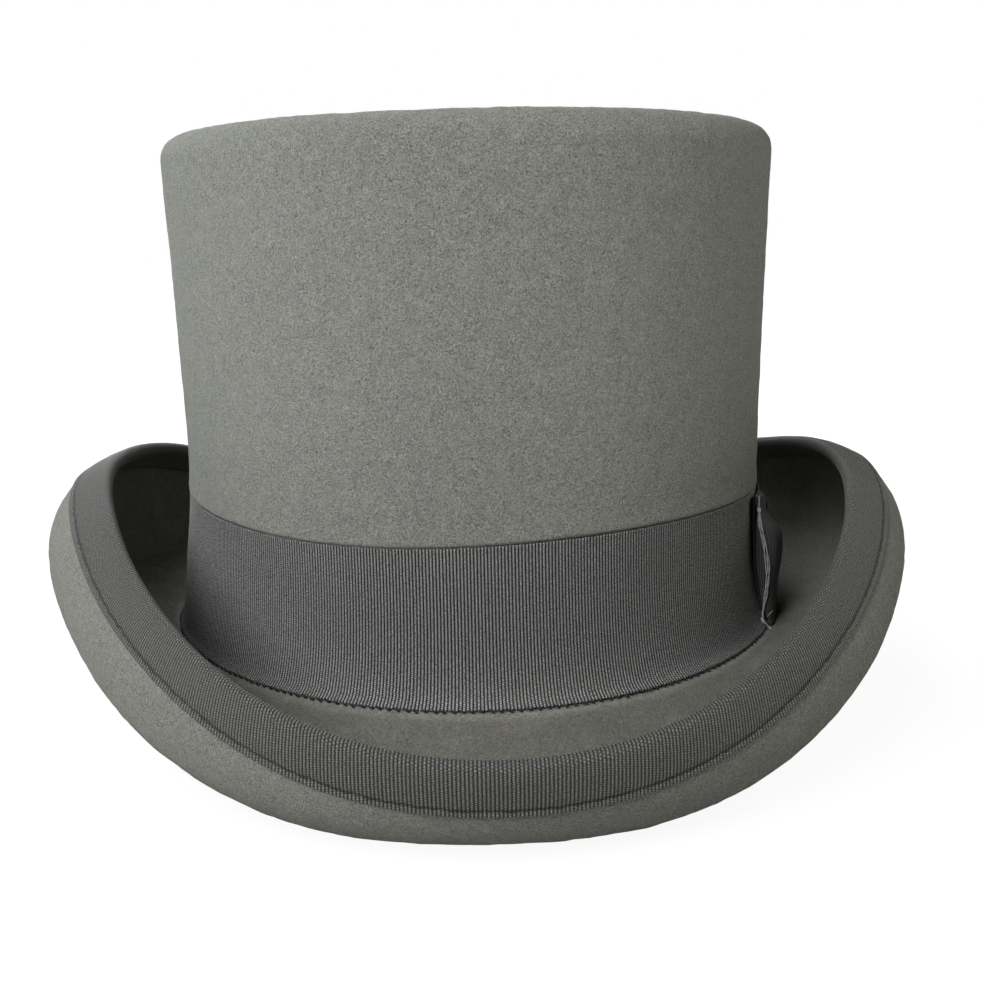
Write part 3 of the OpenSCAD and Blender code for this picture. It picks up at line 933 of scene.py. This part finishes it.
def bow_tack_threads():
    """A loose bundle of basting thread down the bow's front fold, with a knot near each end."""
    rng = np.random.default_rng(21)
    # the bundle's path from the top down, and the heights of its two knots
    heights = [39.9, 38.0, 36.6, 35.6, 34.4, 31.0, 25.2, 19.2, 14.7, 11.1, 8.6, 5.0, 3.0, 2.3]
    off = [2.95, 3.0, 3.05, 3.05, 3.1, 3.35, 4.75, 5.4, 4.95, 4.05, 3.35, 1.75, 1.0, 1.0]
    knot_heights = (35.6, 2.8)
    parts = []

    def thread(h, d, forward, radius, sides, first=0):
        """A thread at heights h, d off the felt and forward of the bow's start."""
        path = wall_points(BOW_START - np.radians(0.6) - forward / OVAL_D, h, d)
        parts.append(tube(path[first:], radius, sides))

    def smoothed(values):
        window = np.hanning(41)
        steps = np.interp(fine, np.linspace(0, 1, len(values)), values)
        steps = np.concatenate([np.full(20, steps[0]), steps, np.full(20, steps[-1])])
        return np.convolve(steps, window / window.sum(), "valid")

    fine = np.linspace(0, 1, 400)
    h, d = smoothed(heights), smoothed(off)
    knots = [np.interp(k, h[::-1], fine[::-1]) for k in knot_heights]
    # the strands part between the knots
    apart = smooth(fine, knots[0] + 0.02, 0.45) * (1 - smooth(fine, 0.62, knots[1] - 0.02))
    strands = 4
    for i in range(strands):
        spread = 0.13 + 0.34 * apart * rng.uniform(0.7, 1.2)
        twist = 2 * PI * i / strands + 5.5 * PI * fine
        wander = 0.1 * np.sin(2 * PI * (fine * rng.uniform(2, 5) + rng.uniform()))
        start = 0 if i < 2 else int(400 * (knots[0] - 0.01))
        away = d + spread * np.cos(twist) + wander
        thread(h, away, spread * np.sin(twist) + 0.35, 0.13, 7, start)
    w = np.linspace(0, 1, 60)
    coil = 0.36 + 0.05 * np.sin(7 * w)
    for k in knots:
        hk, dk = np.interp(k, fine, h), np.interp(k, fine, d)
        round_c, round_s = coil * np.cos(7 * PI * w), coil * np.sin(7 * PI * w)
        thread(hk + 0.55 * (w - 0.5) * 2, dk + round_c, 0.35 + round_s, 0.15, 7)
        over = dk + 0.42 * np.sin(4 * PI * w)
        thread(hk + 0.5 * np.cos(4 * PI * w), over, 0.45 + 0.3 * np.cos(3 * PI * w), 0.14, 7)
    # short ends below the lower knot, and one that sticks out
    w = np.linspace(0, 1, 16)
    for i in range(5):
        lean = rng.uniform(-0.3, 0.5, 2)
        forward = 0.5 + lean[1] * w + 0.25 * np.sin(5 * w + i)
        thread(2.6 - 2.4 * w, 1.0 + (1.3 + lean[0]) * w, forward, 0.1 - 0.04 * w, 6)
    thread(4.2 + 1.9 * w, 2.9 + 2.2 * w, 0.9 + 0.5 * w - 0.4 * w * w, 0.11 - 0.03 * w, 6)
    # fluff along the bundle
    for i in range(34):
        k = rng.uniform(0, 1)
        hk, dk = np.interp(k, fine, h), np.interp(k, fine, d)
        way = rng.normal(0, 0.5, 3)
        forward = 0.4 + 0.3 * way[2] * w + 0.25 * w * w
        thread(hk + 0.9 * way[0] * w, dk + way[1] * w, forward, 0.028, 4)
    make("bow_tack_threads", merged(parts), TACK)


# --- inside

REAR = PI / 2
TAPE_T = 0.4
REED_DROP = REED_R + RIBBON_T / 2 + GAP - SWEAT_LOW
MID_LEATHER = (SWEAT_BACK + SWEAT_FACE) / 2


def rounded(steps):
    """Shares of a sheet's thickness that round off its two edges."""
    ends = np.array([0.3, 0.8])
    return np.concatenate([ends, np.ones(steps - 4), ends[::-1]])


def sweatband():
    a = around(COLUMNS)
    f = np.concatenate([
        [0, 0.004, 0.012], np.linspace(0.03, 0.93, 24),
        [0.948, 0.958, 0.968, 0.98, 0.991, 0.997, 1.0],
    ])
    h = SWEAT_LOW + (SWEAT_W - SWEAT_LOW) * f
    wave = smooth(h, 24, 55) * lumps(inside_points(a, h, MID_LEATHER), 30, 31)
    h = h + 0.35 * smooth(f, 0.8, 1) * lumps(place(a, 0, 0), 22, 32)
    middle = inside_points(a, h, MID_LEATHER + 0.28 + 0.3 * wave)
    groove = 0.14 * hump(f, 0.958, 0.006)
    round_off = rounded(len(f))
    face = SWEAT_T / 2 * round_off
    # going round anticlockwise with heights rising, the front is the side against the felt
    shape = thick_sheet(middle, face, face - groove * round_off, ring=True)
    make("sweatband", shape, LEATHER)


def sweatband_reed():
    sides, radius = 12, REED_R * 0.7
    a, turn = around(COLUMNS), np.arange(sides) * 2 * PI / sides
    out = BASE_FLARE / 2 - MID_LEATHER + radius * np.cos(turn)
    points = place(a, out, base_line(a) - REED_DROP + radius * np.sin(turn))
    make("sweatband_reed", (points, faces_of(COLUMNS, sides, True, True), None), REED)


def reed_tape():
    """A tape folded round the reed: one flap goes up behind the leather and one in front of it."""
    girth = ribbed_ring(lambda a: place(a, BASE_FLARE / 2 - MID_LEATHER, 0))[2]
    columns = round(girth / RIB) * 2
    a = around(columns)
    turn = np.linspace(0, -PI, 11)
    r = 1.02
    back, front = np.linspace(3.4, -REED_DROP, 8)[:-1], np.linspace(-REED_DROP, 2.8, 7)[1:]
    h = np.concatenate([back, -REED_DROP + r * np.sin(turn), front])
    depth = MID_LEATHER - np.concatenate([np.full(7, r), r * np.cos(turn), np.full(6, -r)])
    across = np.concatenate([[0], np.cumsum(np.hypot(np.diff(h), np.diff(depth)))])
    middle = place(a, 0.5 * base_lean(np.maximum(h, 0)) - depth, base_line(a) + h)
    rib = (np.arange(columns) % 2)[:, None] * 0.1
    along = np.arange(columns)[:, None] * RIB / 2
    shape = thick_sheet(middle, 0.15, 0.12 + rib, along, across, ring=True)
    piece = make("reed_tape", shape, BINDING)


def sweatband_stitches():
    def point(a, lift, jitter):
        return inside_points(a, 4.0 + 0.5 * jitter, SWEAT_FACE + lift)

    stitches("sweatband_stitches", point, 120, share=0.5, top=0.45, sunk=-0.1, radius=0.22, seed=13)


def inside_strip(name, material, centre, half, low, high):
    """A short strip on the sweatband's inner face, centre and half its width in degrees."""
    steps = (25, 33)
    x = np.linspace(-1, 1, steps[0])[:, None]
    h = np.linspace(low, high, steps[1])
    middle = inside_points(np.radians(centre - half * x), h, SWEAT_FACE + GAP + TAPE_T / 2)
    face = TAPE_T / 2 * np.minimum(rounded(steps[0])[:, None], rounded(steps[1]))
    wave = 0.06 * lumps(middle, 6, 41)
    width = 2 * np.radians(half) * OVAL_W
    shape = thick_sheet(middle, face + wave, face - wave, (x + 1) / 2 * width, h - low)
    piece = make(name, shape, material)


def sweatband_seam_stitches():
    depth = SWEAT_FACE + GAP + TAPE_T + 0.3
    rows, first = 8, 15.0
    pitch = (SWEAT_W - 5 - first) / rows
    parts = []
    f = np.linspace(0, 1, 7)
    d = depth - 0.42 + 0.42 * np.sin(PI * f) ** 0.5
    for a in (REAR - np.radians(1.5), REAR + np.radians(1.5)):
        for i in range(rows * 2):
            h = first + pitch / 2 * i + pitch * 0.36 * f
            parts.append(tube(inside_points(a, h, d), 0.17, 6))
    make("sweatband_seam_stitches", merged(parts), THREAD)


def sweatband_bow():
    """A small flat bow of narrow ribbon: two loops, a knot and two tails."""
    base, mid_h, leg, nose = SWEAT_FACE + GAP + TAPE_T + 0.35, 10.0, 30, 14
    parts = []
    y = np.linspace(-1, 1, 9)
    across = (y + 1) * 2.5
    t = np.concatenate(
        [np.linspace(0, 1, leg, endpoint=False), np.ones(nose), np.linspace(1, 0, leg)]
    )[:, None]
    turn = np.concatenate(
        [np.full(leg, -PI / 2), np.linspace(-PI / 2, PI / 2, nose), np.full(leg, PI / 2)]
    )[:, None]
    puff = 0.35 + 0.75 * np.sin(PI * np.minimum(t * 0.8 + 0.1, 1))
    loop_d = base + 0.75 + puff * np.sin(turn) + 0.12 * np.cos(2 * PI * y) * (1 - t)
    along = 9.2 * t + 0.8 * np.cos(turn)
    half = 0.9 + 1.7 * smooth(t, 0.0, 0.6)
    u = np.linspace(0, 1, 26)[:, None]
    for side in (-1, 1):
        h = mid_h + half * y * side + 0.15 * t * side
        middle = inside_points(REAR - side * along / OVAL_W, h, loop_d)
        parts.append(thick_sheet(middle, 0.11, 0.11, along, across))
        # the tail slants down from the knot
        a = REAR - side * (0.6 + 5.8 * u + 0.9 * y * side) / OVAL_W
        h = mid_h - 7.0 * u + 1.6 * y * (0.45 + 0.55 * u)
        middle = inside_points(a, h, base + 0.1 + 0.25 * np.sin(PI * u) + 0.05 * side)
        parts.append(thick_sheet(middle, 0.11, 0.11, 9 * u, across))
    turn = np.linspace(0, 2 * PI, 40, endpoint=False)[:, None]
    h = mid_h + (1.75 - 0.2 * y ** 2) * np.cos(turn)
    middle = inside_points(REAR - 1.5 * y / OVAL_W, h, base + 0.85 + 1.15 * np.sin(turn))
    parts.append(thick_sheet(middle, 0.13, 0.13, 2 * turn, (y + 1) * 1.5, ring=True))
    piece = make("sweatband_bow", merged(parts), SATIN_RIBBON)


def lining_side():
    """Satin round the inside, in small upright folds above the sweatband, turned in at the top."""
    columns = 2 * COLUMNS
    a = around(columns)
    f = np.concatenate([[0, 0.006, 0.014, 0.03], np.linspace(0.06, 1, 26)])
    top_h, top_off = shoulder_line(a)
    h = LINING_LOW + (top_h - LINING_LOW) * f
    depth = FELT_T + GAP + LINING_T / 2
    rng = np.random.default_rng(51)
    fold = 0
    for n in (23, 37, 61, 88):
        fold = fold + np.sin(n * a + rng.uniform(0, 2 * PI)) * rng.uniform(0.6, 1.0)
    fold = np.maximum(0, fold / 2.2 + 0.25 * np.sin(5 * a + 1))
    deep = smooth(h, SWEAT_W + 1, SWEAT_W + 30) * (0.35 + 0.5 * smooth(f, 0.75, 1))
    slack = 0.2 * smooth(h, SWEAT_W, SWEAT_W + 10) * (lumps(wall_points(a, h, 0), 25, 52) + 1)
    inward = fold * deep + slack
    wall = wall_points(a, h, -depth - inward)
    turn = np.radians([9, 18, 27, 36, 45, 54, 62])
    r = TIP_R - depth
    out = top_off - TIP_R + r * np.cos(turn) - inward[:, -1:] * (1 - turn)
    arc = place(a, out, base_line(a) + top_h + r * np.sin(turn))
    middle = np.concatenate([wall, arc], 1)
    hem = np.where(h < LINING_LOW + 3.4, 0.06, 0.0)
    hem = np.concatenate([hem * np.ones_like(a), np.zeros((columns, 7))], 1)
    piece = make("lining_side", thick_sheet(middle, 0.12, 0.12 + hem, ring=True), SATIN)


def lining_tip():
    a = around(COLUMNS)
    _, top_off = shoulder_line(a)
    z = BASE_Z + CROWN_H - FELT_T - 1.4
    shares = np.concatenate([np.linspace(0.04, 0.9, 22), [0.93, 0.955, 0.975, 0.99, 1.0]])
    pole = np.array([0, 0, z * MM])
    flat = pole + (place(a, top_off - TIP_R, z) - pole) * shares[:, None]
    rng = np.random.default_rng(61)
    pucker = sum(np.sin(n * a + rng.uniform(0, 2 * PI)) for n in (41, 67, 103)) / 3
    pucker = pucker * smooth(shares, 0.8, 0.99) * (1 - 0.5 * smooth(shares, 0.98, 1.0))
    sag, thick, up = 0.9, 0.24, np.array([0, 0, MM])
    drop = sag * (1 - shares ** 2) + 0.28 * pucker + 0.2 * lumps(flat, 35, 62) * (1 - shares)
    low = flat - up * (drop + thick / 2)[..., None]
    high = low + up * thick
    rows = np.concatenate([low, high[:, ::-1]], 1)
    shape = capped(rows, pole - up * (sag + thick / 2), pole - up * (sag - thick / 2))
    piece = make("lining_tip", shape, SATIN)


def lining_piping():
    """A cord covered with satin cut on the slant, so its twist shows."""
    columns, sides, r = 1440, 10, 0.8
    a = around(columns)
    top_h, top_off = shoulder_line(a)
    turn = np.arange(sides) * 2 * PI / sides
    rr = r - 0.1 + 0.1 * np.cos(180 * a + turn)
    out = top_off - TIP_R + 1.2 + rr * np.cos(turn)
    points = place(a, out, base_line(a) + top_h + 2 + rr * np.sin(turn))
    make("lining_piping", (points, faces_of(columns, sides, True, True), None), SATIN)


def lining_stitches():
    def point(a, lift, jitter):
        return wall_points(a, LINING_LOW + 2 + jitter, -LINING_FACE - lift)

    stitches(
        "lining_stitches", point, 60, share=0.3, top=0.25, sunk=-0.1, radius=0.2, seed=14,
        material=SATIN,
    )


felt_body()
hatband()
brim_binding()
brim_binding_stitches()
hatband_stitches()
bow_base()
bow_loop("bow_front_loop", BOW_START, 1.0, 22)
bow_loop("bow_rear_loop", BOW_END, 0.85, 23)
bow_knot()
bow_tack_threads()
sweatband()
sweatband_reed()
reed_tape()
sweatband_stitches()
inside_strip("sweatband_seam_tape", LEATHER, 90, 2.2, low=5.0, high=SWEAT_W - 3)
sweatband_seam_stitches()
sweatband_bow()
lining_side()
lining_tip()
lining_piping()
lining_stitches()
inside_strip("size_label", LABEL, 62, 5, low=12.0, high=26.0)

# --- light and floor

# the point that the lights aim at, degrees above it, metres away and metres wide
LIGHT_AT, LIGHT_UP, LIGHT_AWAY, LIGHT_SIZE = Vector((0, 0, 0.09)), 35.0, 1.5, 0.9
FLOOR_HALF, FLOOR_DROP = 6.0, 0.0002


def area_light(name, side, power, colour=(1, 1, 1)):
    """A square light, side degrees from the front towards the viewer's left."""
    lamp = bpy.data.lights.new(name, "AREA")
    lamp.shape = "SQUARE"
    lamp.size = LIGHT_SIZE
    lamp.energy = power
    lamp.color = colour
    obj = bpy.data.objects.new(name, lamp)
    s, h = np.radians([side, LIGHT_UP])
    away = Vector((-np.sin(s) * np.cos(h), -np.cos(s) * np.cos(h), np.sin(h)))
    obj.location = LIGHT_AT + LIGHT_AWAY * away
    obj.rotation_euler = (-away).to_track_quat("-Z", "Y").to_euler()
    bpy.context.scene.collection.objects.link(obj)


def floor_material():
    """White paper, washed out where it's seen directly, with a trace of the hat's shadow."""
    g = Graph("floor")
    g.finish((0.6, 0.6, 0.6, 1), 0.9, Specular_IOR_Level=0.0)
    seen = g.add("ShaderNodeLightPath", out=0)
    length = {"operation": "LENGTH"}
    from_hat = g.add("ShaderNodeVectorMath", out=1, settings=length, i0=g.where())
    glow = g.remap(from_hat, 0.25, 0.6, 0.93, 1.0)
    paper = g.add("ShaderNodeBsdfDiffuse", Color=(0.12, 0.12, 0.12, 1))
    shine = g.add("ShaderNodeEmission", Strength=glow)
    bright = g.add("ShaderNodeAddShader", i0=paper, i1=shine)
    both = g.add("ShaderNodeMixShader", i0=seen, i1=g.shader.outputs[0], i2=bright)
    g.feed(g.tree.nodes["Material Output"].inputs["Surface"], both)
    return g.material


def studio():
    mesh = bpy.data.meshes.new("floor")
    corners = [(x * FLOOR_HALF, y * FLOOR_HALF, 0) for x, y in ((-1, -1), (1, -1), (1, 1), (-1, 1))]
    mesh.from_pydata(corners, [], [(0, 1, 2, 3)])
    floor = bpy.data.objects.new("floor", mesh)
    floor.location.z = -FLOOR_DROP
    bpy.context.scene.collection.objects.link(floor)
    mesh.materials.append(floor_material())

    # the background is white to the camera and gives the hat only a little light
    world = bpy.data.worlds.new("studio")
    bpy.context.scene.world = world
    world.use_nodes = True
    nodes, links = world.node_tree.nodes, world.node_tree.links
    seen = nodes.new("ShaderNodeLightPath")
    fill, white = nodes["Background"], nodes.new("ShaderNodeBackground")
    for background, strength in ((fill, 0.01), (white, 1.0)):
        background.inputs["Strength"].default_value = strength
        background.inputs["Color"].default_value = (1, 1, 1, 1)
    mix = nodes.new("ShaderNodeMixShader")
    links.new(seen.outputs["Is Camera Ray"], mix.inputs[0])
    links.new(fill.outputs[0], mix.inputs[1])
    links.new(white.outputs[0], mix.inputs[2])
    links.new(mix.outputs[0], nodes["World Output"].inputs[0])

    area_light("key", 37, 21)
    area_light("rear_left", 165, 15.4, (0.97, 1.0, 1.01))
    area_light("left", 125, 5.2, (0.96, 1.0, 1.02))
    area_light("right", -75, 6.6, (1.03, 1.0, 0.94))

    scene = bpy.context.scene
    scene.view_settings.view_transform = "Standard"
    scene.view_settings.look = "None"


studio()
